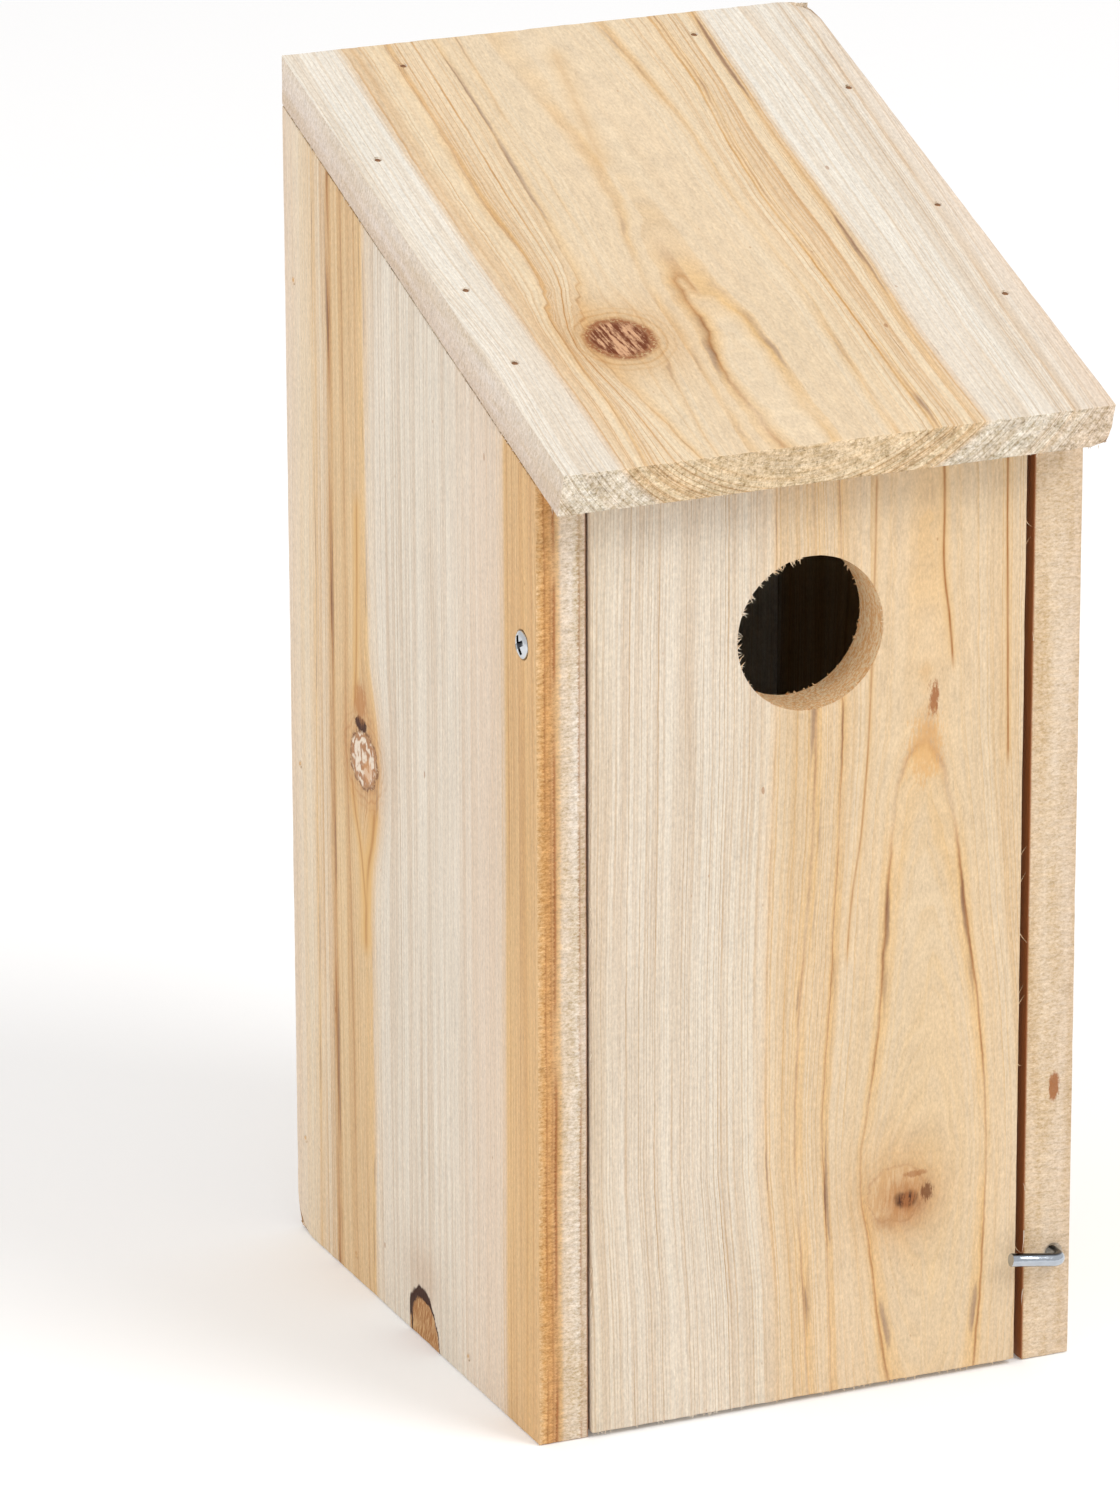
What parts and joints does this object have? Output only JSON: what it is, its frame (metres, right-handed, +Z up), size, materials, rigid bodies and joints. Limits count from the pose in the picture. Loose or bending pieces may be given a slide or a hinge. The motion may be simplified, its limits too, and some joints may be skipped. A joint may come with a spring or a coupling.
{
  "type": "birdhouse",
  "caption": "Small wooden nest box with a sloping roof, a round entrance and a front door that swings up on two side screws and is held shut by a turning wire hook.",
  "frame": {"origin": "under the middle of the box's overall size, at its base", "axes": "+Z up; the front with the entrance hole faces -Y; the back that goes on the wall faces +Y"},
  "size_m": [0.1216, 0.145, 0.26],
  "materials": {
    "roof_wood": "unfinished planed softwood, rough-sawn end grain",
    "side_wood": "unfinished planed softwood, rough-sawn edges",
    "door_wood": "unfinished planed softwood",
    "back_wood": "unfinished planed softwood",
    "floor_wood": "unfinished planed softwood",
    "screw_zinc": "bright zinc plate",
    "hook_zinc": "bright zinc plate",
    "nail_steel": "dull steel"
  },
  "bodies": {
    "frame": {"roof_board": "roof_wood", "back_board": "back_wood", "floor_board": "floor_wood", "left_side_board": "side_wood", "right_side_board": "side_wood", "roof_nail_left_1": "nail_steel", "roof_nail_left_2": "nail_steel", "roof_nail_left_3": "nail_steel", "roof_nail_right_1": "nail_steel", "roof_nail_right_2": "nail_steel", "roof_nail_right_3": "nail_steel", "roof_nail_back_1": "nail_steel", "roof_nail_back_2": "nail_steel", "left_nail_back_1": "nail_steel", "left_nail_back_2": "nail_steel", "left_nail_back_3": "nail_steel", "left_nail_floor_1": "nail_steel", "left_nail_floor_2": "nail_steel", "right_nail_back_1": "nail_steel", "right_nail_back_2": "nail_steel", "right_nail_back_3": "nail_steel", "right_nail_floor_1": "nail_steel", "right_nail_floor_2": "nail_steel"},
    "door": {"front_door": "door_wood", "left_pivot_screw": "screw_zinc", "right_pivot_screw": "screw_zinc"},
    "hook": {"latch_hook": "hook_zinc"}
  },
  "joints": [
    {"name": "door_swing", "type": "hinge", "parent": "frame", "child": "door", "pos_m": [0, -0.0515, 0.1686], "axis": [-1, 0, 0], "range_deg": [0, 135]},
    {"name": "hook_turn", "type": "hinge", "parent": "frame", "child": "hook", "pos_m": [0.056, -0.0585, 0.023], "axis": [0, 1, 0], "range_deg": [-99, 81]}
  ]
}
